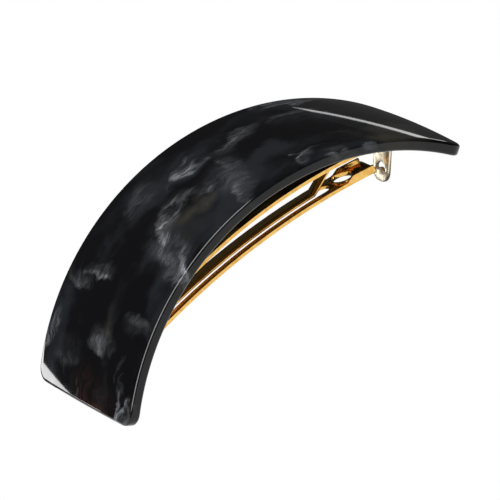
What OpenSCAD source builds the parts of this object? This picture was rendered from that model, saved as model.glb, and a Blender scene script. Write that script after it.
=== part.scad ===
// Arched hair barrette: a bent cellulose-acetate plate on a sprung metal clip.
// The long way is X, the width is Y, and the crest of the arch points to +Z.
// The hinge end of the clip is at -X and its catch end is at +X.

/* [Plate] */
// Length of the plate from end to end, measured straight across
plate_length = 89; // [80:1:110]
// Height of the arch's crest above the plate's ends
plate_rise = 22; // [17:0.2:26]
// Width of the plate
plate_width = 38; // [28:1:50]
// Thickness of the plate along its middle
plate_thickness = 3; // [2.6:0.1:4]
// How far the top face falls from the middle to the long edges
plate_crown = 0.6; // [0.2:0.1:0.8]
// Radius of the polished long edges
plate_edge_radius = 0.8; // [0.3:0.1:0.8]
// Radius of the plate's corners, seen from above
plate_corner_radius = 3; // [1:0.5:6]

/* [Clip base] */
// How far each end of the base stops short of the plate's end, along the arch
base_inset = 2; // [1:0.2:4]
// Length of the two flat ends that lie against the plate
seat_length = 4.4; // [4:0.2:6]
// Width of the two flat ends
seat_width = 7.2; // [5:0.2:9]
// Rise of the base's own arc between its two ends
base_rise = 6.7; // [5:0.1:9]
// Thickness of the pressed sheet of the base and the arm
sheet = 0.7; // [0.5:0.05:1]

/* [Hinge] */
// Radius of the hinge pin
pin_radius = 0.7; // [0.5:0.05:0.9]
// Radial clearance of the two knuckles that turn on the pin
pin_clearance = 0.05; // [0.02:0.01:0.1]
// Wall of the rolled knuckles
knuckle_wall = 0.6; // [0.4:0.05:0.8]
// Radius of the ears' rounded ends
ear_radius = 1.8; // [1.5:0.1:2.2]
// Distance of the pin from the bend at the hinge end of the base
hinge_setback = 3.4; // [3:0.2:6]
// Depth of the pin's middle below the base
hinge_depth = 2.2; // [2:0.1:4]
// Radius of the peened heads of the pin
pin_head_radius = 1.1; // [1:0.05:1.4]
// Height of the peened heads of the pin
pin_head_height = 0.4; // [0.3:0.05:0.6]

/* [Clasp arm] */
// Depth of the arm's tip below the base when the arm is closed
catch_depth = 4.9; // [4:0.1:6]
// Rise of the arm's own arc between the pin and the tip
arm_rise = 3.7; // [2.6:0.1:4]
// Width of the arm
arm_width = 6.4; // [5.6:0.1:8]
// Width of the long slot between the arm's two rails
slot_width = 3.1; // [2.4:0.1:3.4]
// Distance from the arm's tip to the closed end of the slot
slot_end = 9.8; // [9.2:0.2:12]
// Radius of the round eye behind the arm's nose
eye_radius = 2.2; // [1.2:0.1:2.3]
// Distance from the arm's tip to the middle of the eye
eye_distance = 6.4; // [6:0.1:6.8]
// Width of the raised rim around the eye
rim_width = 0.5; // [0.3:0.05:0.6]
// Height of the raised rim around the eye
rim_height = 0.4; // [0.2:0.05:0.6]
// Height of the nose's turned-up sides above the sheet
nose_height = 0.9; // [0.4:0.1:1.4]
// Length of the nose's turned-up sides
nose_length = 7; // [4:0.2:7.6]
// Slope of the start of the nose's sides, in degrees
nose_slope = 30; // [20:5:80]
// Thickness of the nose's turned-up sides
nose_wall = 0.6; // [0.4:0.05:0.8]
// Radius of the corners at the arm's tip
tip_corner = 0.5; // [0.3:0.1:0.6]

/* [Tension bow] */
// Width of the bow
bow_width = 2.9; // [2.4:0.1:3.6]
// Thickness of the bow's spring strip
bow_strip = 0.45; // [0.3:0.05:0.6]
// Clear height between the closed arm and the bow
bow_gap = 0.2; // [0.15:0.05:0.4]
// Distance from the arm's tip to the bend where the bow leaves the arm
bow_bend = 13.8; // [12:0.2:18]
// Distance from the arm's tip to the bow's foot under the base
bow_foot = 7; // [5.6:0.2:9]
// Length of the bow's foot
foot_length = 2.4; // [1.5:0.1:3.5]

/* [Catch tab] */
// Width of the springy catch tab
tab_width = 5.8; // [5:0.1:7]
// Length of the springy catch tab
tab_length = 8.5; // [8:0.1:10.5]
// Thickness of the catch tab
tab_sheet = 0.7; // [0.5:0.05:0.9]
// Lean of the tab towards the arm, in degrees from upright
tab_lean = 35; // [25:1:40]
// Distance of the tab from the bend at the catch end of the base
tab_setback = 1; // [0.8:0.1:2]
// Radius of the tab's lower corners
tab_corner = 2.3; // [1:0.1:2.5]
// Distance from the top of the tab to its window
window_depth = 6.6; // [4.5:0.1:6.8]
// Radius of the curved window's middle line
window_bend = 1.5; // [1.2:0.1:1.8]
// Width of the curved window
window_width = 1.1; // [0.8:0.1:1.3]
// Angle the curved window spans to each side of its middle
window_sweep = 50; // [30:5:70]

/* [Rivets] */
// Radius of the rivets' shanks
rivet_radius = 0.75; // [0.5:0.05:1]
// Radius of the rivets' heads
rivet_head_radius = 1.4; // [1.2:0.1:1.8]
// Height of the rivets' heads
rivet_head_height = 0.6; // [0.4:0.05:1]
// Depth of the rivets' holes in the plate
rivet_depth = 1.6; // [1:0.1:2]

/* [Fits] */
// Gap on each side between neighbours that turn past each other
side_gap = 0.15; // [0.1:0.01:0.3]
// Gap between the arm's tip and the catch tab as the arm swings past
tip_gap = 0.3; // [0.2:0.05:0.5]
// Gap between the base and the springy pieces that touch it
rest_gap = 0.12; // [0.1:0.01:0.2]
// Radial gap of a fixed pin in its hole
fixed_gap = 0.02; // [0.01:0.005:0.03]

/* [Hidden] */
$fn = 96;
// How far joined shapes run into each other
overlap = 0.05;
// How far a cutting shape runs past what it cuts
past = 1;
// Facets of half of the plate's crown, and of each rounded edge
crown_facets = 6;
edge_facets = 4;
// Straight pieces that the bow's long curve is made of
bow_facets = 30;
slot_facets = 12;

// The plate's arc, about an axis along Y through the origin of the arch
plate_radius = (pow(plate_length / 2, 2) + pow(plate_rise, 2)) / (2 * plate_rise);
plate_inner = plate_radius - plate_thickness;
plate_half_angle = asin(plate_length / 2 / plate_radius);
crown_radius = (pow(plate_width / 2, 2) + pow(plate_crown, 2)) / (2 * plate_crown);

// Where the base's flat ends lie on the plate
degrees_per_mm = 180 / (PI * plate_inner);
seat_outer_angle = plate_half_angle - base_inset * degrees_per_mm;
seat_inner_angle = seat_outer_angle - seat_length * degrees_per_mm;
seat_angle = (seat_outer_angle + seat_inner_angle) / 2;
seat_x = plate_inner * sin(seat_inner_angle);
seat_z = plate_inner * cos(seat_inner_angle);

// The base's own, flatter arc, about an axis below the plate's
base_radius = (pow(seat_x, 2) + pow(base_rise, 2)) / (2 * base_rise);
base_under = base_radius - sheet;
base_centre = [0, seat_z + base_rise - base_radius - sheet / 4];
base_width = arm_width + 2 * side_gap + 2 * sheet;

// Height of the base's underside at a distance along X
function under_base(x) = base_centre[1] + sqrt(pow(base_under, 2) - pow(x, 2));

// A point at an angle from upright and a radius, about a centre in the XZ plane
function at_arc(centre, angle, radius) = centre + radius * [sin(angle), cos(angle)];

// The catch tab turns about the centre of its rounded upper end
tab_angle = asin((seat_x - tab_setback) / base_under);
tab_pivot = at_arc(base_centre, tab_angle, base_under - rest_gap - tab_sheet / 2);
tab_foot_x = tab_pivot[0] - tab_length * sin(tab_lean) - tab_sheet / 2 * cos(tab_lean);

// The closed arm follows an arc in its mid-plane from the pin to its tip
pin_x = hinge_setback - seat_x;
pin = [pin_x, under_base(pin_x) - hinge_depth];
tip_x = tab_foot_x - tip_gap;
tip = [tip_x, under_base(tip_x) - catch_depth];
arm_chord = tip - pin;
arm_radius = (pow(norm(arm_chord) / 2, 2) + pow(arm_rise, 2)) / (2 * arm_rise);
arm_centre = (pin + tip) / 2
    + (arm_rise - arm_radius) * [-arm_chord[1], arm_chord[0]] / norm(arm_chord);
arm_top = arm_radius + sheet / 2;
arm_under = arm_radius - sheet / 2;
knuckle_radius = pin_radius + pin_clearance + knuckle_wall;

// Places along the arm, as angles about its own centre, measured from its tip
pin_angle = atan2(pin[0] - arm_centre[0], pin[1] - arm_centre[1]);
tip_angle = atan2(tip[0] - arm_centre[0], tip[1] - arm_centre[1]);
arm_degrees_per_mm = 180 / (PI * arm_radius);
slot_end_angle = tip_angle - (slot_end + slot_width / 2) * arm_degrees_per_mm;
eye_angle = tip_angle - eye_distance * arm_degrees_per_mm;
nose_angle = tip_angle - nose_length * arm_degrees_per_mm;
nose_end_angle = tip_angle - tip_corner * arm_degrees_per_mm;
bend_angle = tip_angle - bow_bend * arm_degrees_per_mm;

// The bow's strip lies just above the arm, and its foot just below the base
bow_middle = arm_top + bow_gap + bow_strip / 2;
neck_width = slot_width - 4 * side_gap;
foot_radius = base_under - rest_gap - bow_strip / 2;
foot_angle = asin((tip_x - bow_foot) / foot_radius);
foot_end_angle = foot_angle + foot_length * 180 / (PI * foot_radius);

// The rivets' flat heads touch the curved seats at the rim, and narrow towards the hair
rivet_seat = sqrt(pow(plate_inner - sheet, 2) - pow(rivet_head_radius, 2));
rivet_crown_radius = 0.7 * rivet_head_radius;

// The lowest point rests at z = 0
tab_low = tab_pivot[1] - tab_length * cos(tab_lean) - tab_sheet / 2 * sin(tab_lean);
plate_low = plate_inner * cos(plate_half_angle);
ear_low = pin[1] - ear_radius;
lift = -min(tab_low, plate_low, ear_low);

// Stand children at an angle and radius about a centre in the XZ plane, their +Z outwards
module on_arc(centre, angle, radius) {
    translate([centre[0], 0, centre[1]])
        rotate([0, angle, 0])
            translate([0, 0, radius])
                children();
}

// Turn a section, drawn as radius by width, about the Y axis between two angles
module swept(from, to) {
    rotate([90, 0, 0])
        rotate([0, 0, 90 - to])
            rotate_extrude(angle = to - from, $fn = 360)
                children();
}

// A strip bent round an axis along Y through a centre in the XZ plane
module arc_strip(centre, inner, outer, width, from, to) {
    translate([centre[0], 0, centre[1]])
        swept(from, to)
            translate([inner, -width / 2])
                square([outer - inner, width]);
}

// A cylinder along Y through a point of the XZ plane
module bar(point, radius, width) {
    translate([point[0], width / 2, point[1]])
        rotate([90, 0, 0])
            cylinder(r = radius, h = width);
}

// The outline of a thin strip that follows a path, with square ends
function strip_outline(path, thickness) =
    let (last = len(path) - 1,
         side = [for (i = [0:last])
             let (before = path[max(i, 1)] - path[max(i, 1) - 1],
                  after = path[min(i, last - 1) + 1] - path[min(i, last - 1)],
                  middle = before / norm(before) + after / norm(after))
             thickness / 2 * [-middle[1], middle[0]] * 2 / (middle * middle)])
    concat([for (i = [0:last]) path[i] + side[i]],
           [for (i = [last:-1:0]) path[i] - side[i]]);

// What a rounded corner leaves over: a square less a quarter circle
module corner_waste(radius, height) {
    difference() {
        translate([-radius, -radius, 0])
            cube([radius + past, radius + past, height]);
        translate([-radius, -radius, -past])
            cylinder(r = radius, h = height + 2 * past);
    }
}

// Points of an arc, drawn as radius by width
function arc_points(centre, radius, from, to, facets) =
    [for (i = [0:facets]) let (a = from + (to - from) * i / facets)
        centre + radius * [cos(a), sin(a)]];

// Half of the plate's section, from its middle to one long edge: the crowned
// face, the rounded edge that meets it smoothly, and the lower rounded edge
function section_half() =
    let (round = plate_edge_radius,
         out = plate_width / 2 - round,
         lean = asin(out / (crown_radius - round)),
         crown_middle = plate_radius - crown_radius,
         round_middle = crown_middle + (crown_radius - round) * cos(lean),
         crown = arc_points([crown_middle, 0], crown_radius, 0, lean, crown_facets),
         upper = arc_points([round_middle, out], round, lean, 90, edge_facets),
         lower = arc_points([plate_inner + round, out], round, 90, 180, edge_facets))
    concat(crown, [for (i = [1:edge_facets]) upper[i]], lower);

module plate_section() {
    half = section_half();
    polygon(concat(half, [for (i = [len(half) - 1:-1:1]) [half[i][0], -half[i][1]]]));
}

module acetate_plate() {
    color("#1b1c1f")
        difference() {
            swept(-plate_half_angle, plate_half_angle)
                plate_section();
            for (side = [-1, 1], end = [0, 1])
                mirror([end, 0, 0])
                    mirror([0, side > 0 ? 0 : 1, 0])
                        on_arc([0, 0], plate_half_angle, plate_inner - past)
                            translate([0, plate_width / 2, 0])
                                corner_waste(plate_corner_radius, plate_thickness + 2 * past);
            for (side = [-1, 1])
                on_arc([0, 0], side * seat_angle, plate_inner - overlap)
                    cylinder(r = rivet_radius + fixed_gap, h = rivet_depth + overlap);
        }
}

// One flat end of the base, bent to lie against the plate
module base_seat() {
    swept(seat_inner_angle, seat_outer_angle)
        translate([plate_inner - sheet, -seat_width / 2])
            square([sheet, seat_width]);
}

// One of the two ears that hold the pin, reaching down from the base's edge
module base_ear(side) {
    translate([pin[0], side * (base_width - sheet) / 2 + sheet / 2, pin[1]])
        rotate([90, 0, 0])
            linear_extrude(sheet) {
                circle(r = ear_radius);
                translate([-ear_radius, 0])
                    square([2 * ear_radius, hinge_depth + sheet / 2]);
            }
}

module clip_base() {
    reach = asin((seat_x + sheet) / base_radius);
    color("#c8963c")
        difference() {
            union() {
                intersection() {
                    arc_strip(base_centre, base_under, base_radius, base_width, -reach, reach);
                    bar([0, 0], plate_inner - sheet / 2, base_width + 2 * past);
                }
                for (end = [0, 1])
                    mirror([end, 0, 0])
                        base_seat();
                for (side = [-1, 1])
                    base_ear(side);
            }
            for (side = [-1, 1])
                on_arc([0, 0], side * seat_angle, plate_inner - sheet - past)
                    cylinder(r = rivet_radius + fixed_gap, h = sheet + 2 * past);
            bar(pin, pin_radius + fixed_gap, base_width + 2 * past);
        }
}

// A rivet whose head bears on the base and whose shank is held in the plate
module rivet(side) {
    color("#c8963c")
        on_arc([0, 0], side * seat_angle, rivet_seat) {
            translate([0, 0, -rivet_head_height / 2])
                cylinder(r = rivet_head_radius, h = rivet_head_height / 2);
            translate([0, 0, -rivet_head_height])
                cylinder(r1 = rivet_crown_radius, r2 = rivet_head_radius, h = rivet_head_height / 2);
            translate([0, 0, -overlap])
                cylinder(r = rivet_radius, h = plate_inner - rivet_seat + rivet_depth - fixed_gap + overlap);
        }
}

module hinge_pin() {
    color("#d8a848") {
        bar(pin, pin_radius, base_width + 2 * overlap);
        for (side = [-1, 1])
            translate([0, side * (base_width + pin_head_height) / 2, 0])
                bar(pin, pin_head_radius, pin_head_height);
    }
}

// One turned-up side of the arm's nose, with its start sloped
module nose_side(side) {
    translate([0, side * (arm_width - nose_wall) / 2, 0])
        difference() {
            arc_strip(arm_centre, arm_top - overlap, arm_top + nose_height, nose_wall, nose_angle, nose_end_angle);
            on_arc(arm_centre, nose_angle, arm_top)
                rotate([0, -nose_slope, 0])
                    translate([-nose_length, -nose_wall, 0])
                        cube([2 * nose_length, 2 * nose_wall, nose_length]);
        }
}

// The eye's raised rim, which lines the hole through the arm
module eye_rim() {
    difference() {
        cylinder(r = eye_radius + rim_width, h = sheet + rim_height - overlap);
        translate([0, 0, -past])
            cylinder(r = eye_radius, h = sheet + rim_height + 2 * past);
    }
}

// The slot that parts the arm into two rails, round next to the eye and open past the pin
module arm_slot() {
    turn = slot_end_angle - pin_angle;
    reach = arm_radius * sin(turn) + knuckle_radius + past;
    depth = arm_radius * (1 - cos(turn)) + knuckle_radius + past;
    half = slot_width / 2;
    on_arc(arm_centre, slot_end_angle, arm_radius - depth)
        linear_extrude(depth + sheet + past)
            polygon(concat([for (step = [-slot_facets:slot_facets])
                                half * [cos(90 * step / slot_facets), sin(90 * step / slot_facets)]],
                           [[-reach, half], [-reach, -half]]));
}

module clasp_arm() {
    color("#c8963c")
        difference() {
            union() {
                difference() {
                    arc_strip(arm_centre, arm_under, arm_top, arm_width, pin_angle, tip_angle);
                    on_arc(arm_centre, eye_angle, arm_under - past)
                        cylinder(r = eye_radius + rim_width / 2, h = sheet + 2 * past);
                }
                bar(pin, knuckle_radius, arm_width);
                for (side = [-1, 1])
                    nose_side(side);
                on_arc(arm_centre, eye_angle, arm_under + overlap)
                    eye_rim();
            }
            arm_slot();
            for (side = [0, 1])
                mirror([0, side, 0])
                    on_arc(arm_centre, tip_angle, arm_under - past)
                        translate([0, arm_width / 2, 0])
                            corner_waste(tip_corner, sheet + 2 * past);
            bar(pin, pin_radius + pin_clearance, arm_width + 2 * past);
        }
}

module tension_bow() {
    along = [for (i = [0:bow_facets])
        at_arc(arm_centre, pin_angle + (bend_angle - pin_angle) * i / bow_facets, bow_middle)];
    foot = [for (angle = [foot_angle, foot_end_angle]) at_arc(base_centre, angle, foot_radius)];
    color("#a87a30")
        difference() {
            union() {
                difference() {
                    translate([0, bow_width / 2, 0])
                        rotate([90, 0, 0])
                            linear_extrude(bow_width)
                                polygon(strip_outline(concat(along, foot), bow_strip));
                    for (side = [-1, 1])
                        translate([0, side * (neck_width + bow_width) / 2, 0])
                            bar(pin, 2 * knuckle_radius, bow_width);
                }
                bar(pin, knuckle_radius, neck_width);
            }
            bar(pin, pin_radius + pin_clearance, bow_width + 2 * past);
        }
}

// The window in the catch tab: a slot that follows an arc, with round ends
module tab_window() {
    reach = 2 * (window_bend + window_width);
    translate([0, 0, -tab_sheet])
        linear_extrude(2 * tab_sheet) {
            intersection() {
                difference() {
                    circle(r = window_bend + window_width / 2);
                    circle(r = window_bend - window_width / 2);
                }
                polygon([[0, 0], for (a = [-window_sweep, 0, window_sweep]) reach * [cos(a), sin(a)]]);
            }
            for (a = [-window_sweep, window_sweep])
                translate(window_bend * [cos(a), sin(a)])
                    circle(d = window_width);
        }
}

module catch_tab() {
    color("#e6c98a")
        translate([tab_pivot[0], 0, tab_pivot[1]])
            rotate([0, 90 + tab_lean, 0])
                difference() {
                    union() {
                        translate([0, -tab_width / 2, -tab_sheet / 2])
                            cube([tab_length, tab_width, tab_sheet]);
                        bar([0, 0], tab_sheet / 2, tab_width);
                    }
                    for (side = [0, 1])
                        mirror([0, side, 0])
                            translate([tab_length, tab_width / 2, -tab_sheet])
                                corner_waste(tab_corner, 2 * tab_sheet);
                    translate([window_depth, 0, 0])
                        mirror([1, 0, 0])
                            tab_window();
                }
}

translate([0, 0, lift]) acetate_plate();
translate([0, 0, lift]) clip_base();
translate([0, 0, lift]) rivet(-1);  // rivet_hinge_end
translate([0, 0, lift]) rivet(1);  // rivet_catch_end
translate([0, 0, lift]) hinge_pin();
translate([0, 0, lift]) clasp_arm();
translate([0, 0, lift]) tension_bow();
translate([0, 0, lift]) catch_tab();
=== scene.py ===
"""An arched hair barrette: a marbled black acetate plate on a gilt spring clip.

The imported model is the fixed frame. The plate is rebuilt with a smooth crown
and polished edges by Geometry Nodes, the clip's sheet pieces get softened
edges, and the studio is white paper with soft lights and a few reflected cards.
Lengths are in metres.
"""

from __future__ import annotations

import logging
import math
from dataclasses import dataclass, field
from enum import Enum

import bmesh
import bpy
from mathutils import Matrix, Vector

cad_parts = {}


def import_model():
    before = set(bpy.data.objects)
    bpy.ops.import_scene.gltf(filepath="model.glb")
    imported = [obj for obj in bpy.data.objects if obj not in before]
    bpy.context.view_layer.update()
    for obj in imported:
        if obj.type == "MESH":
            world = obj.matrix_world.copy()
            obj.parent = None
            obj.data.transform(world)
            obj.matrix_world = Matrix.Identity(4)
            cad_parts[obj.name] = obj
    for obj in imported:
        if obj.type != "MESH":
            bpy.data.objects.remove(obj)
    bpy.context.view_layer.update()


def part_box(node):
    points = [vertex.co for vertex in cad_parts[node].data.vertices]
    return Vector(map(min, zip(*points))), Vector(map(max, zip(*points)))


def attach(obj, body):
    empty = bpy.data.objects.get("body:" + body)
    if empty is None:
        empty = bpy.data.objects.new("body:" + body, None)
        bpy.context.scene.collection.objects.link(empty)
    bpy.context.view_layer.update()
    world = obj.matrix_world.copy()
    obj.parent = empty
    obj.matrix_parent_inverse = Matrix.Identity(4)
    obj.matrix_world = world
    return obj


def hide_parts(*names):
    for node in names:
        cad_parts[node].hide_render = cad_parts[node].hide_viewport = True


log = logging.getLogger("barrette")

MM = 0.001


class Slot(Enum):
    """The record's material slots."""

    ACETATE = "acetate"
    GILT = "gilt_steel"


class Body(Enum):
    """The bodies that pieces ride on."""

    BASE = "plate_and_base"
    ARM = "arm"
    BOW = "bow"
    TAB = "tab"


class NodeTree:
    """A small builder for node trees."""

    def __init__(self, tree: bpy.types.NodeTree) -> None:
        """Wrap a tree.

        Args:
            tree: The tree that nodes are added to.
        """
        self.tree = tree

    def add(self, kind: str, **settings: object) -> bpy.types.Node:
        """Add a node and set its plain properties.

        Args:
            kind: The node's Blender type name.
            **settings: Properties of the node.

        Returns:
            The new node.
        """
        node = self.tree.nodes.new(kind)
        for name, value in settings.items():
            setattr(node, name, value)
        return node

    def link(self, source: bpy.types.NodeSocket, target: bpy.types.NodeSocket) -> None:
        """Join an output to an input.

        Args:
            source: The output.
            target: The input.
        """
        self.tree.links.new(source, target)

    def feed(self, target: bpy.types.NodeSocket, value: object) -> None:
        """Give an input a link if the value is a socket, or else a plain value.

        Args:
            target: The input.
            value: The socket or the plain value.
        """
        if isinstance(value, bpy.types.NodeSocket):
            self.link(value, target)
        else:
            target.default_value = value

    def math(self, operation: str, first: object, second: object = 0.0) -> bpy.types.NodeSocket:
        """Add a Math node.

        Args:
            operation: The node's operation.
            first: The first value or socket.
            second: The second value or socket.

        Returns:
            The result's socket.
        """
        node = self.add("ShaderNodeMath", operation=operation)
        self.feed(node.inputs[0], first)
        self.feed(node.inputs[1], second)
        return node.outputs[0]

    def ramp(self, value: bpy.types.NodeSocket, low: float, high: float) -> bpy.types.NodeSocket:
        """Map a value smoothly from 0 at low to 1 at high.

        Args:
            value: The socket that is mapped.
            low: The value that gives 0.
            high: The value that gives 1.

        Returns:
            The result's socket.
        """
        node = self.add("ShaderNodeMapRange", interpolation_type="SMOOTHSTEP")
        self.link(value, node.inputs["Value"])
        node.inputs["From Min"].default_value = low
        node.inputs["From Max"].default_value = high
        return node.outputs["Result"]

    def blend(self, kind: str, factor: object, base: object, over: object) -> bpy.types.NodeSocket:
        """Mix two colours.

        Args:
            kind: The Mix node's blend type.
            factor: How much of the second colour.
            base: The first colour or socket.
            over: The second colour or socket.

        Returns:
            The mixed colour's socket.
        """
        node = self.add("ShaderNodeMix", data_type="RGBA", blend_type=kind)
        self.feed(node.inputs["Factor"], factor)
        self.feed(node.inputs["A"], base)
        self.feed(node.inputs["B"], over)
        return node.outputs["Result"]


def new_material(name: str) -> tuple[bpy.types.Material, NodeTree, bpy.types.Node]:
    """Make a material with nodes.

    Args:
        name: The material's name.

    Returns:
        The material, its node builder, and its shader node.
    """
    material = bpy.data.materials.new(name)
    material.use_nodes = True
    nodes = NodeTree(material.node_tree)
    return material, nodes, material.node_tree.nodes["Principled BSDF"]


@dataclass(frozen=True)
class Flake:
    """One pearly flake in the acetate: its place along and across the plate, and its size.

    Lengths are in millimetres, and the turn is in degrees from the plate's long way.
    """

    along: float
    across: float
    turn: float
    length: float
    width: float
    glow: float


@dataclass(frozen=True)
class Layer:
    """One layer of stretched noise in the acetate.

    The turn is in degrees. The stretch says how much finer the noise is across its
    long way, the scale how many features a flake's size holds, and the shift moves
    the layer so that layers differ. The noise rises from 0 at low to 1 at high.
    """

    turn: float
    stretch: float
    scale: float
    shift: float
    low: float
    high: float


@dataclass(frozen=True)
class MarbledAcetate:
    """Polished black acetate with pearly grey flakes that lie in drifts."""

    big_flakes: tuple[Flake, ...] = (
        Flake(-16.5, -12, 74, 24, 12, 0.16),
        Flake(-13, -6, 58, 14, 5, 0.50),
        Flake(-19.5, -19, 252, 14, 6, 0.42),
        Flake(-16, -15, 40, 9, 4, 0.25),
        Flake(-25.5, 6.5, 100, 12, 4, 0.34),
        Flake(-37.5, -3, 95, 12, 6, 0.24),
        Flake(12.5, 5, 20, 15, 6, 0.20),
        Flake(3, -15, 60, 12, 6, 0.28),
        Flake(17, -16, 30, 8, 3, 0.45),
        Flake(2, -6, 230, 20, 13, 0.12),
        Flake(6, -1, 110, 10, 5, 0.12),
        Flake(-9, 10, 40, 16, 9, 0.10),
        Flake(-28, 13, 80, 12, 5, 0.14),
        Flake(-32, -13, 255, 13, 5, 0.12),
        Flake(-49, -15.7, -45, 9, 1.6, 0.35),
        Flake(26, 6, 15, 15, 8, 0.07),
        Flake(-43, 8, 100, 13, 7, 0.08),
        Flake(-6, -1, 130, 12, 5, 0.09),
    )
    warm_flake: Flake = Flake(-49, -6, 70, 24, 12, 0.6)
    clouds: Layer = Layer(30.0, 1.8, 0.6, 0.013, 0.46, 0.72)
    wisps: Layer = Layer(62.0, 3.2, 0.8, 0.071, 0.50, 0.74)
    fibres: Layer = Layer(75.0, 9.0, 2.6, 0.211, 0.34, 0.64)
    warmth: Layer = Layer(15.0, 1.0, 0.5, 0.317, 0.56, 0.70)

    black: tuple[float, float, float, float] = (0.0016, 0.0016, 0.0019, 1.0)
    smoke: tuple[float, float, float, float] = (0.0065, 0.0070, 0.0085, 1.0)
    pearl: tuple[float, float, float, float] = (0.26, 0.27, 0.29, 1.0)
    olive: tuple[float, float, float, float] = (0.014, 0.013, 0.009, 1.0)
    russet: tuple[float, float, float, float] = (0.030, 0.012, 0.008, 1.0)
    flake_size: float = 11 * MM
    roughness: float = 0.04
    ior: float = 1.40
    warp: float = 0.9
    small_glow: float = 0.5

    def coordinates(self, nodes: NodeTree) -> bpy.types.NodeSocket:
        """Make the pattern's coordinates: places on the flat plate, warped a little.

        Args:
            nodes: The material's node builder.

        Returns:
            The warped coordinates' socket.
        """
        place = nodes.add("ShaderNodeAttribute", attribute_name="flat")
        warp = nodes.add("ShaderNodeTexNoise")
        warp.inputs["Scale"].default_value = 1.6 / self.flake_size
        warp.inputs["Detail"].default_value = 4.0
        nodes.link(place.outputs["Vector"], warp.inputs["Vector"])
        centred = nodes.add("ShaderNodeVectorMath", operation="SUBTRACT")
        nodes.link(warp.outputs["Color"], centred.inputs[0])
        centred.inputs[1].default_value = (0.5, 0.5, 0.5)
        shift = nodes.add("ShaderNodeVectorMath", operation="SCALE")
        nodes.link(centred.outputs[0], shift.inputs[0])
        shift.inputs["Scale"].default_value = self.warp * self.flake_size
        total = nodes.add("ShaderNodeVectorMath", operation="ADD")
        nodes.link(place.outputs["Vector"], total.inputs[0])
        nodes.link(shift.outputs[0], total.inputs[1])
        return total.outputs[0]

    def drift(self, nodes: NodeTree, place: bpy.types.NodeSocket,
              layer: Layer) -> bpy.types.NodeSocket:
        """Make one layer of stretched noise.

        Args:
            nodes: The material's node builder.
            place: The pattern's coordinates.
            layer: The layer.

        Returns:
            The noise's socket, from 0 to 1.
        """
        mapping = nodes.add("ShaderNodeMapping")
        nodes.link(place, mapping.inputs["Vector"])
        mapping.inputs["Location"].default_value = (
            layer.shift, 0.6 * layer.shift, 0.3 * layer.shift)
        mapping.inputs["Rotation"].default_value = (0.0, 0.0, math.radians(layer.turn))
        mapping.inputs["Scale"].default_value = (1.0, layer.stretch, 1.0)
        noise = nodes.add("ShaderNodeTexNoise")
        nodes.link(mapping.outputs["Vector"], noise.inputs["Vector"])
        noise.inputs["Scale"].default_value = layer.scale / self.flake_size
        noise.inputs["Detail"].default_value = 2.0
        noise.inputs["Roughness"].default_value = 0.5
        return nodes.ramp(noise.outputs["Fac"], layer.low, layer.high)

    def small_flakes(self, nodes: NodeTree,
                     place: bpy.types.NodeSocket) -> bpy.types.NodeSocket:
        """Make the small flakes: each bright at one side and fading across it.

        Args:
            nodes: The material's node builder.
            place: The pattern's coordinates.

        Returns:
            The flakes' brightness, from 0 to 1.
        """
        cells = nodes.add("ShaderNodeTexVoronoi", feature="SMOOTH_F1")
        nodes.link(place, cells.inputs["Vector"])
        cells.inputs["Scale"].default_value = 0.55 / self.flake_size
        cells.inputs["Smoothness"].default_value = 0.15
        apart = nodes.add("ShaderNodeSeparateColor")
        nodes.link(cells.outputs["Color"], apart.inputs["Color"])
        bright = nodes.ramp(apart.outputs["Red"], 0.55, 1.0)
        side = nodes.ramp(cells.outputs["Distance"], 0.15, 0.62)
        return nodes.math("MULTIPLY", bright, side)

    def spot(self, nodes: NodeTree, place: bpy.types.NodeSocket,
             flake: Flake) -> bpy.types.NodeSocket:
        """Make one big flake: an oval that is brighter towards one of its long sides.

        Args:
            nodes: The material's node builder.
            place: The pattern's coordinates.
            flake: The flake.

        Returns:
            The flake's brightness as a socket.
        """
        mapping = nodes.add("ShaderNodeMapping", vector_type="TEXTURE")
        nodes.link(place, mapping.inputs["Vector"])
        mapping.inputs["Location"].default_value = (
            flake.along * MM, flake.across * MM, 0.0)
        mapping.inputs["Rotation"].default_value = (0.0, 0.0, math.radians(flake.turn))
        mapping.inputs["Scale"].default_value = (
            flake.length / 2 * MM, flake.width / 2 * MM, 1.0)
        reach = nodes.add("ShaderNodeVectorMath", operation="LENGTH")
        nodes.link(mapping.outputs["Vector"], reach.inputs[0])
        inside = nodes.math("SUBTRACT", 1.0, nodes.ramp(reach.outputs["Value"], 0.30, 1.05))
        parts = nodes.add("ShaderNodeSeparateXYZ")
        nodes.link(mapping.outputs["Vector"], parts.inputs[0])
        side = nodes.math("ADD", 0.22, nodes.ramp(parts.outputs["Y"], -0.1, 0.75))
        return nodes.math("MULTIPLY", nodes.math("MULTIPLY", inside, side), flake.glow)

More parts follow.
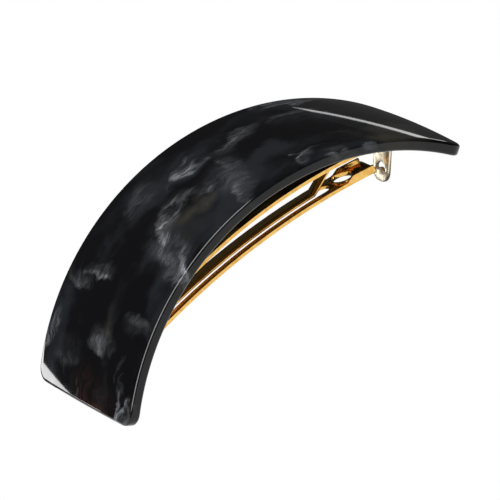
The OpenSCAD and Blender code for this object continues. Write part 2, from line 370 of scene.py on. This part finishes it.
    def build(self) -> bpy.types.Material:
        """Make the material.

        Returns:
            The material.
        """
        material, nodes, shader = new_material("marbled_acetate")
        place = self.coordinates(nodes)
        clouds = self.drift(nodes, place, self.clouds)
        wisps = self.drift(nodes, place, self.wisps)
        fibres = self.drift(nodes, place, self.fibres)
        warmth = self.drift(nodes, place, self.warmth)
        colour = nodes.blend("MIX", clouds, self.black, self.smoke)
        colour = nodes.blend("MIX", nodes.math("MULTIPLY", warmth, clouds), colour, self.olive)
        red = nodes.math("MULTIPLY", self.spot(nodes, place, self.warm_flake), fibres)
        colour = nodes.blend("MIX", red, colour, self.russet)
        small = nodes.math("MULTIPLY", self.small_flakes(nodes, place), wisps)
        pearl = nodes.math("MULTIPLY", small, self.small_glow)
        for flake in self.big_flakes:
            pearl = nodes.math("ADD", pearl, self.spot(nodes, place, flake))
        strength = nodes.math("ADD", 0.4, wisps)
        grain = nodes.math("ADD", 0.2, nodes.math("MULTIPLY", fibres, strength))
        pearl = nodes.math("MULTIPLY", pearl, grain)
        colour = nodes.blend("MIX", nodes.math("MINIMUM", pearl, 1.0), colour, self.pearl)
        nodes.link(colour, shader.inputs["Base Color"])
        shader.inputs["Roughness"].default_value = self.roughness
        shader.inputs["IOR"].default_value = self.ior
        return material


@dataclass(frozen=True)
class GiltSteel:
    """Polished gold plate on pressed spring steel, with faint rolling marks."""

    name: str = "gilt_steel"
    gold: tuple[float, float, float, float] = (0.90, 0.56, 0.16, 1.0)
    deep: tuple[float, float, float, float] = (0.74, 0.40, 0.09, 1.0)
    roughness: float = 0.12
    mark_size: float = 0.5 * MM
    mark_stretch: float = 0.12
    mark_strength: float = 0.06
    mark_depth: float = 0.02 * MM

    def build(self) -> bpy.types.Material:
        """Make the material.

        Returns:
            The material.
        """
        material, nodes, shader = new_material(self.name)
        place = nodes.add("ShaderNodeTexCoord")
        tone = nodes.add("ShaderNodeTexNoise")
        nodes.link(place.outputs["Object"], tone.inputs["Vector"])
        tone.inputs["Scale"].default_value = 0.4 / self.mark_size
        tone.inputs["Detail"].default_value = 4.0
        worn = nodes.ramp(tone.outputs["Fac"], 0.35, 0.70)
        nodes.link(nodes.blend("MIX", worn, self.gold, self.deep), shader.inputs["Base Color"])
        stretch = nodes.add("ShaderNodeMapping")
        nodes.link(place.outputs["Object"], stretch.inputs["Vector"])
        stretch.inputs["Scale"].default_value = (self.mark_stretch, 1.0, 1.0)
        marks = nodes.add("ShaderNodeTexNoise")
        nodes.link(stretch.outputs["Vector"], marks.inputs["Vector"])
        marks.inputs["Scale"].default_value = 1.0 / self.mark_size
        marks.inputs["Detail"].default_value = 3.0
        rough = nodes.add("ShaderNodeMapRange")
        nodes.link(marks.outputs["Fac"], rough.inputs["Value"])
        rough.inputs["To Min"].default_value = self.roughness * 0.6
        rough.inputs["To Max"].default_value = self.roughness * 1.6
        nodes.link(rough.outputs["Result"], shader.inputs["Roughness"])
        bump = nodes.add("ShaderNodeBump")
        nodes.link(marks.outputs["Fac"], bump.inputs["Height"])
        bump.inputs["Strength"].default_value = self.mark_strength
        bump.inputs["Distance"].default_value = self.mark_depth
        nodes.link(bump.outputs["Normal"], shader.inputs["Normal"])
        shader.inputs["Metallic"].default_value = 1.0
        return material


def glowing(name: str, glow: float) -> bpy.types.Material:
    """Make an evenly glowing white finish that no light or shadow changes.

    Args:
        name: The material's name.
        glow: Its brightness.

    Returns:
        The material.
    """
    material, _, shader = new_material(name)
    shader.inputs["Base Color"].default_value = (0.0, 0.0, 0.0, 1.0)
    shader.inputs["Specular IOR Level"].default_value = 0.0
    shader.inputs["Emission Color"].default_value = (1.0, 1.0, 1.0, 1.0)
    shader.inputs["Emission Strength"].default_value = glow
    return material


@dataclass(frozen=True)
class StudioPaper:
    """White paper, lit so evenly that no shadow shows on it."""

    glow: float = 1.0

    def build(self) -> bpy.types.Material:
        """Make the material.

        Returns:
            The material.
        """
        return glowing("studio_paper", self.glow)


@dataclass(frozen=True)
class StudioCard:
    """A card that only polished surfaces see. Its corners are in millimetres."""

    name: str
    corners: tuple[tuple[float, float, float], ...]
    glow: float

    def build(self) -> bpy.types.Material:
        """Make the card's material.

        Returns:
            The material.
        """
        return glowing(self.name, self.glow)


# Dark ground that the plate's far side and ends mirror
FLAG = StudioCard("flag", ((46, -12, 0), (400, -150, 0), (2500, 2900, 0),
                           (-2900, 1500, 0), (-60, 25, 0)), 0.05)
# The bright line along the plate's catch end
GAP = StudioCard("gap", ((59, 8, 0.3), (62, 8, 0.3), (212, 300, 0.3), (199, 300, 0.3)), 1.6)
# The reflection in the catch tab's face, which the tab's finish also paints pale
REFLECTOR = StudioCard("reflector", ((-330, 400, 0), (-150, 400, 0),
                                     (-150, 400, 42), (-330, 400, 42)), 7.0)
# The thin highlight along the plate's near upper edge
RIM_LIGHT = StudioCard("rim_light", ((260, -250, 840), (-435, -250, 716), (-772, -250, 383),
                                     (-772, -750, 383), (-435, -750, 716), (260, -750, 840)), 9.0)


@dataclass
class AcetatePlate:
    """The arched plate: a crowned section with polished edges, swept along an arc."""

    finish: bpy.types.Material
    thickness: float = 3.0 * MM
    crown: float = 0.6 * MM
    edge: float = 0.8 * MM
    corner: float = 3.0 * MM
    along: int = 240
    across: int = 48
    corner_steps: int = 10
    edge_steps: int = 6
    low: Vector = field(init=False)
    high: Vector = field(init=False)

    def __post_init__(self) -> None:
        """Read the plate's box, and work out its arc."""
        self.low, self.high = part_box("acetate_plate")
        self.length = self.high.x - self.low.x
        self.width = self.high.y - self.low.y
        self.height = self.high.z - self.low.z
        self.radius = self._arc_radius()
        self.half_angle = math.asin(self.length / 2 / self.radius)
        self.arc = 2 * self.half_angle * self.radius

    def _arc_radius(self) -> float:
        """Find the outer radius whose arc, less the thickness, fills the box.

        Returns:
            The outer radius, in metres.
        """
        small, large = self.length / 2, 4 * self.length
        for _ in range(60):
            radius = (small + large) / 2
            end = math.asin(self.length / 2 / radius)
            if radius - (radius - self.thickness) * math.cos(end) > self.height:
                small = radius
            else:
                large = radius
        return radius

    def group(self) -> bpy.types.NodeTree:
        """Make the Geometry Nodes tree that bends a flat rounded slab into the plate.

        Returns:
            The node group, with named inputs for the plate's sizes.
        """
        tree = bpy.data.node_groups.new("arched_plate", "GeometryNodeTree")
        face = tree.interface
        face.new_socket("Geometry", in_out="INPUT", socket_type="NodeSocketGeometry")
        for name in ("Radius", "Thickness", "Crown", "Width"):
            face.new_socket(name, in_out="INPUT", socket_type="NodeSocketFloat")
        face.new_socket("Finish", in_out="INPUT", socket_type="NodeSocketMaterial")
        face.new_socket("Geometry", in_out="OUTPUT", socket_type="NodeSocketGeometry")
        nodes = NodeTree(tree)
        given = nodes.add("NodeGroupInput")
        result = nodes.add("NodeGroupOutput")
        place = nodes.add("GeometryNodeInputPosition")
        parts = nodes.add("ShaderNodeSeparateXYZ")
        nodes.link(place.outputs[0], parts.inputs[0])
        half_width = nodes.math("DIVIDE", given.outputs["Width"], 2.0)
        across = nodes.math("DIVIDE", parts.outputs["Y"], half_width)
        fall = nodes.math("MULTIPLY", nodes.math("MULTIPLY", across, across),
                          given.outputs["Crown"])
        share = nodes.math("DIVIDE", parts.outputs["Z"], given.outputs["Thickness"])
        drop = nodes.math("MULTIPLY", fall, share)
        inner = nodes.math("SUBTRACT", given.outputs["Radius"], given.outputs["Thickness"])
        outward = nodes.math("SUBTRACT", nodes.math("ADD", inner, parts.outputs["Z"]), drop)
        angle = nodes.math("DIVIDE", parts.outputs["X"], given.outputs["Radius"])
        joined = nodes.add("ShaderNodeCombineXYZ")
        nodes.link(nodes.math("MULTIPLY", outward, nodes.math("SINE", angle)), joined.inputs["X"])
        nodes.link(parts.outputs["Y"], joined.inputs["Y"])
        nodes.link(nodes.math("MULTIPLY", outward, nodes.math("COSINE", angle)), joined.inputs["Z"])
        flat = nodes.add("GeometryNodeStoreNamedAttribute", data_type="FLOAT_VECTOR")
        flat.inputs["Name"].default_value = "flat"
        nodes.link(given.outputs["Geometry"], flat.inputs["Geometry"])
        nodes.link(place.outputs[0], flat.inputs["Value"])
        bend = nodes.add("GeometryNodeSetPosition")
        nodes.link(flat.outputs["Geometry"], bend.inputs["Geometry"])
        nodes.link(joined.outputs[0], bend.inputs["Position"])
        real = nodes.add("GeometryNodeRealizeInstances")
        nodes.link(bend.outputs[0], real.inputs[0])
        dress = nodes.add("GeometryNodeSetMaterial")
        nodes.link(real.outputs[0], dress.inputs["Geometry"])
        nodes.link(given.outputs["Finish"], dress.inputs["Material"])
        nodes.link(dress.outputs[0], result.inputs[0])
        return tree

    def rail(self, inset: float) -> list[tuple[float, float]]:
        """Give one long side of the flat slab's outline, with a round corner at each end.

        Args:
            inset: How far inside the outer edge the side lies.

        Returns:
            Points from the +X end to the -X end, on the +Y side.
        """
        half_x, half_y = self.arc / 2, self.width / 2
        corner = self.corner
        keep = corner - inset
        turns = [math.pi / 2 * step / self.corner_steps for step in range(self.corner_steps + 1)]
        start = [(half_x - corner + keep * math.cos(t), half_y - corner + keep * math.sin(t))
                 for t in turns]
        reach = half_x - corner
        side = [(reach * (1 - 2 * step / self.along), half_y - inset)
                for step in range(1, self.along)]
        return start + side + [(-x, y) for x, y in reversed(start)]

    def slab(self) -> bpy.types.Mesh:
        """Make the flat slab: a grid on each face, and rounded rings round the edge.

        Returns:
            The slab's closed mesh, with its underside at z = 0.
        """
        turns = [math.pi / 2 * step / self.edge_steps for step in range(self.edge_steps + 1)]
        lower = [(self.edge * (1 - math.sin(t)), self.edge * (1 - math.cos(t))) for t in turns]
        upper = [(inset, self.thickness - z) for inset, z in reversed(lower)]
        levels = lower + upper
        last = len(self.rail(0.0)) - 1
        border = ([(0, j) for j in range(self.across)]
                  + [(k, self.across) for k in range(last)]
                  + [(last, j) for j in range(self.across, 0, -1)]
                  + [(k, 0) for k in range(last, 0, -1)])
        grid = [(k, j) for k in range(last + 1) for j in range(self.across + 1)]
        build = bmesh.new()
        loops = []
        for index, (inset, z) in enumerate(levels):
            rail = self.rail(inset)
            whole = index in (0, len(levels) - 1)
            spot = {}
            for k, j in (grid if whole else border):
                x, y = rail[k]
                spot[k, j] = build.verts.new((x, y * (2 * j / self.across - 1), z))
            loops.append([spot[place] for place in border])
            if whole:
                for k in range(last):
                    for j in range(self.across):
                        build.faces.new((spot[k, j], spot[k, j + 1],
                                         spot[k + 1, j + 1], spot[k + 1, j]))
        for below, above in zip(loops, loops[1:]):
            for index in range(len(border)):
                after = (index + 1) % len(border)
                build.faces.new((below[index], below[after], above[after], above[index]))
        bmesh.ops.recalc_face_normals(build, faces=build.faces)
        mesh = bpy.data.meshes.new("acetate_plate_smooth")
        build.to_mesh(mesh)
        build.free()
        return mesh

    def build(self) -> bpy.types.Object:
        """Bend, place and dress the plate.

        Returns:
            The finished plate.
        """
        piece = bpy.data.objects.new("acetate_plate_smooth", self.slab())
        bpy.context.scene.collection.objects.link(piece)
        modifier = piece.modifiers.new("arch", "NODES")
        modifier.node_group = self.group()
        sizes = {"Radius": self.radius, "Thickness": self.thickness, "Crown": self.crown,
                 "Width": self.width, "Finish": self.finish}
        for item in modifier.node_group.interface.items_tree:
            if item.in_out == "INPUT" and item.name in sizes:
                modifier[item.identifier] = sizes[item.name]
        bpy.context.view_layer.update()
        shown = piece.evaluated_get(bpy.context.evaluated_depsgraph_get())
        mesh = bpy.data.meshes.new_from_object(shown)
        piece.modifiers.remove(modifier)
        piece.data = mesh
        mesh.transform(Matrix.Translation((0.0, 0.0, self.high.z - self.radius)))
        smooth(mesh, math.radians(40.0))
        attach(piece, Body.BASE.value)
        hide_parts("acetate_plate")
        return piece


def smooth(mesh: bpy.types.Mesh, angle: float) -> None:
    """Shade a mesh smooth, with sharp edges past an angle.

    Args:
        mesh: The mesh.
        angle: The angle between faces past which an edge stays sharp.
    """
    build = bmesh.new()
    build.from_mesh(mesh)
    for face in build.faces:
        face.smooth = True
    for edge in build.edges:
        edge.smooth = len(edge.link_faces) == 2 and edge.calc_face_angle(0.0) < angle
    build.to_mesh(mesh)
    build.free()


@dataclass
class GiltPiece:
    """A clip piece made from its CAD node, with softened edges."""

    node: str
    body: Body
    finish: bpy.types.Material
    softness: float = 0.12 * MM
    segments: int = 2

    def build(self) -> bpy.types.Object:
        """Copy the node's mesh, merge it, soften its edges and dress it.

        Returns:
            The finished piece.
        """
        source = bpy.data.objects[self.node]
        build = bmesh.new()
        build.from_mesh(source.data)
        bmesh.ops.remove_doubles(build, verts=build.verts, dist=0.002 * MM)
        bmesh.ops.dissolve_degenerate(build, edges=build.edges, dist=0.002 * MM)
        bmesh.ops.dissolve_limit(build, angle_limit=math.radians(0.5), verts=build.verts,
                                 edges=build.edges)
        mesh = bpy.data.meshes.new(self.node + "_finished")
        build.to_mesh(mesh)
        build.free()
        piece = bpy.data.objects.new(self.node + "_finished", mesh)
        bpy.context.scene.collection.objects.link(piece)
        bevel = piece.modifiers.new("softened", "BEVEL")
        bevel.width = self.softness
        bevel.segments = self.segments
        bevel.limit_method = "ANGLE"
        bevel.angle_limit = math.radians(35.0)
        bevel.use_clamp_overlap = True
        bevel.harden_normals = False
        bpy.context.view_layer.update()
        shown = piece.evaluated_get(bpy.context.evaluated_depsgraph_get())
        finished = bpy.data.meshes.new_from_object(shown)
        piece.modifiers.remove(bevel)
        piece.data = finished
        finished.materials.clear()
        finished.materials.append(self.finish)
        smooth(finished, math.radians(30.0))
        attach(piece, self.body.value)
        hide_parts(self.node)
        return piece


@dataclass
class SpringClip:
    """The gilt clip under the plate: base, rivets, pin, arm, bow and catch tab."""

    gilt: bpy.types.Material
    # The catch tab's gilt, painted pale: a painted reflection of the white surroundings
    gilt_painted_pale: bpy.types.Material

    def build(self) -> list[bpy.types.Object]:
        """Make the clip's pieces.

        Returns:
            The finished pieces.
        """
        pieces = [
            GiltPiece("clip_base", Body.BASE, self.gilt),
            GiltPiece("rivet_hinge_end", Body.BASE, self.gilt, 0.15 * MM, 3),
            GiltPiece("rivet_catch_end", Body.BASE, self.gilt, 0.15 * MM, 3),
            GiltPiece("hinge_pin", Body.BASE, self.gilt, 0.15 * MM, 3),
            GiltPiece("clasp_arm", Body.ARM, self.gilt),
            GiltPiece("tension_bow", Body.BOW, self.gilt, 0.1 * MM),
            # The catch tab wears the gilt painted pale, a painted reflection on top of the
            # reflector card's real one
            GiltPiece("catch_tab", Body.TAB, self.gilt_painted_pale),
        ]
        return [piece.build() for piece in pieces]


@dataclass
class Studio:
    """The white floor, the lights, the reflected cards and the camera."""

    paper: bpy.types.Material
    cards: tuple[StudioCard, ...] = (FLAG, GAP, REFLECTOR, RIM_LIGHT)
    floor_reach: float = 3000.0
    floor_level: float = -80.0
    dusk: float = 0.03
    aim: Vector = field(init=False)
    distance: float = 1.0085
    forward: Vector = field(default_factory=lambda: Vector((0.25723, 0.838125, -0.481018)))
    upward: Vector = field(default_factory=lambda: Vector((0.6185, 0.2397, 0.7483)))
    lens: float = 370.4

    def __post_init__(self) -> None:
        """Find the point that the camera aims at."""
        low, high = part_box("acetate_plate")
        self.aim = Vector(((low.x + high.x) / 2 + 1.2 * MM, 0.0, low.z + 3.9 * MM))

    def camera(self) -> None:
        """Make the long-lens camera, rolled so that the barrette rises to the right."""
        data = bpy.data.cameras.new("camera")
        data.lens = self.lens
        data.sensor_width = 36.0
        data.clip_start = 0.01
        camera = bpy.data.objects.new("camera", data)
        bpy.context.scene.collection.objects.link(camera)
        ahead = self.forward.normalized()
        right = ahead.cross(self.upward).normalized()
        above = right.cross(ahead).normalized()
        turn = Matrix((right, above, -ahead)).transposed()
        camera.matrix_world = Matrix.Translation(self.aim - ahead * self.distance) @ turn.to_4x4()
        bpy.context.scene.camera = camera

    def sheet(self, name: str, corners: tuple[tuple[float, float, float], ...],
              finish: bpy.types.Material) -> bpy.types.Object:
        """Make one flat piece of the studio.

        Args:
            name: The piece's name.
            corners: Its corners in order, in millimetres.
            finish: Its material.

        Returns:
            The new piece.
        """
        mesh = bpy.data.meshes.new(name)
        mesh.from_pydata([Vector(corner) * MM for corner in corners], [],
                         [tuple(range(len(corners)))])
        mesh.materials.append(finish)
        piece = bpy.data.objects.new(name, mesh)
        bpy.context.scene.collection.objects.link(piece)
        return piece

    def card(self, card: StudioCard) -> None:
        """Make one card that only the polished surfaces see.

        Args:
            card: The card.
        """
        piece = self.sheet(card.name, card.corners, card.build())
        piece.visible_camera = False
        piece.visible_diffuse = False
        piece.visible_shadow = False
        piece.visible_transmission = False

    def floor(self) -> None:
        """Make the plain white floor, low enough for the open arm."""
        reach, level = self.floor_reach, self.floor_level
        self.sheet("floor", ((-reach, -reach, level), (reach, -reach, level),
                             (reach, reach, level), (-reach, reach, level)), self.paper)

    def light(self, name: str, place: tuple[float, float, float],
              size: tuple[float, float], power: float) -> None:
        """Make one soft light that faces the barrette and isn't mirrored in it.

        Args:
            name: The light's name.
            place: Where it is, in metres.
            size: Its width and height.
            power: Its power in watts.
        """
        data = bpy.data.lights.new(name, "AREA")
        data.shape = "RECTANGLE"
        data.size, data.size_y = size
        data.energy = power
        lamp = bpy.data.objects.new(name, data)
        bpy.context.scene.collection.objects.link(lamp)
        lamp.location = place
        lamp.rotation_mode = "QUATERNION"
        lamp.rotation_quaternion = (self.aim - Vector(place)).to_track_quat("-Z", "Y")
        lamp.visible_camera = False
        lamp.visible_glossy = False

    def surroundings(self) -> None:
        """Set the dark, plain surroundings, and plain colour handling."""
        world = bpy.data.worlds.new("studio")
        world.use_nodes = True
        bpy.context.scene.world = world
        back = world.node_tree.nodes["Background"]
        back.inputs["Color"].default_value = (self.dusk, self.dusk, self.dusk, 1.0)
        back.inputs["Strength"].default_value = 1.0
        bpy.context.scene.view_settings.view_transform = "Standard"

    def build(self) -> None:
        """Make the whole studio."""
        self.camera()
        self.floor()
        for card in self.cards:
            self.card(card)
        self.surroundings()
        self.light("overhead", (0.0, 0.0, 1.2), (1.6, 1.6), 34.0)
        self.light("key", (-0.55, 0.0, 0.85), (0.5, 1.0), 20.0)


def main() -> None:
    """Build the barrette and its studio, and report each piece."""
    logging.basicConfig(level=logging.INFO, format="%(message)s")
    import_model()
    plate = AcetatePlate(MarbledAcetate().build()).build()
    gilt = GiltSteel().build()
    # The catch tab's finish is the gilt steel painted pale: a painted reflection of the white
    # surroundings, added to the real reflection of the reflector card
    gilt_painted_pale = GiltSteel("gilt_steel_painted_pale", (0.98, 0.88, 0.68, 1.0), (0.95, 0.82, 0.58, 1.0),
                     0.3).build()
    for piece in [plate, *SpringClip(gilt, gilt_painted_pale).build()]:
        log.info("%s: %d faces", piece.name, len(piece.data.polygons))
    Studio(StudioPaper().build()).build()


if __name__ == "__main__":
    main()
